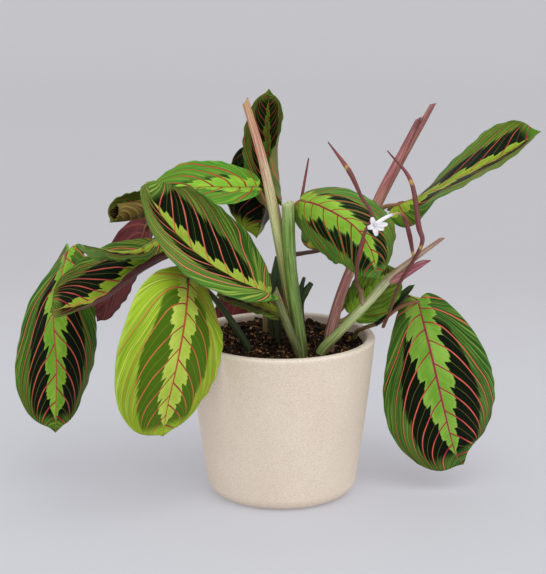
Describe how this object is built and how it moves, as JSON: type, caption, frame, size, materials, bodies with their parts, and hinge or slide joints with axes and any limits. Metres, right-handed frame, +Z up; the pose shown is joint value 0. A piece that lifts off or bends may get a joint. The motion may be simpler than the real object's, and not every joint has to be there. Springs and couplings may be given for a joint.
{
  "type": "potted prayer plant",
  "caption": "Prayer plant with broad, folded and hanging patterned leaves on thin stalks, in a plain round tapered stoneware pot filled with soil.",
  "frame": {"origin": "middle of the pot's flat base, on the ground", "axes": "+Z up along the pot's axis, -Y towards the front of the plant, +X to the right seen from the front"},
  "size_m": [0.359, 0.2102, 0.2822],
  "materials": {
    "stoneware": "matte unglazed stoneware, fine speckle",
    "soil": "coarse dark potting soil",
    "leaf": "satin leaf, green with dark blotches, a pale midband and coral veins, dark red underneath",
    "light_leaf": "satin leaf, light yellow-green with darker blotches and coral veins",
    "pale_stem": "smooth pale green stem, pink where torn",
    "pink_sheath": "dull pink-purple sheath",
    "purple_stalk": "dull dark purple stalk",
    "dark_growth": "dark green young growth",
    "petal": "thin white petal"
  },
  "bodies": {
    "root": {"pot": "stoneware", "soil": "soil", "shoot_tall": "pale_stem", "shoot_left": "pale_stem", "shoot_pink": "pink_sheath", "shoot_flowering": "pale_stem", "leaf_far_left": "leaf", "leaf_left_folded": "leaf", "leaf_left_purple": "leaf", "leaf_left_pale": "leaf", "leaf_front_large": "leaf", "leaf_scrolled": "leaf", "leaf_bright_back": "light_leaf", "leaf_dark_back": "leaf", "leaf_upright": "leaf", "leaf_right_middle": "leaf", "leaf_upper_right": "leaf", "leaf_under_stalk": "leaf", "leaf_right_hanging": "leaf", "leaf_front_light": "light_leaf", "leaf_low_small": "light_leaf", "leaf_rear_middle": "leaf", "leaf_rear_pot": "leaf", "leaf_rear_right": "leaf", "bract_stalk_left": "purple_stalk", "bract_thin": "purple_stalk", "flower_stalks": "purple_stalk", "small_dark_shoot": "dark_growth", "small_curled_leaf": "dark_growth", "flower_white": "petal"}
  },
  "joints": []
}
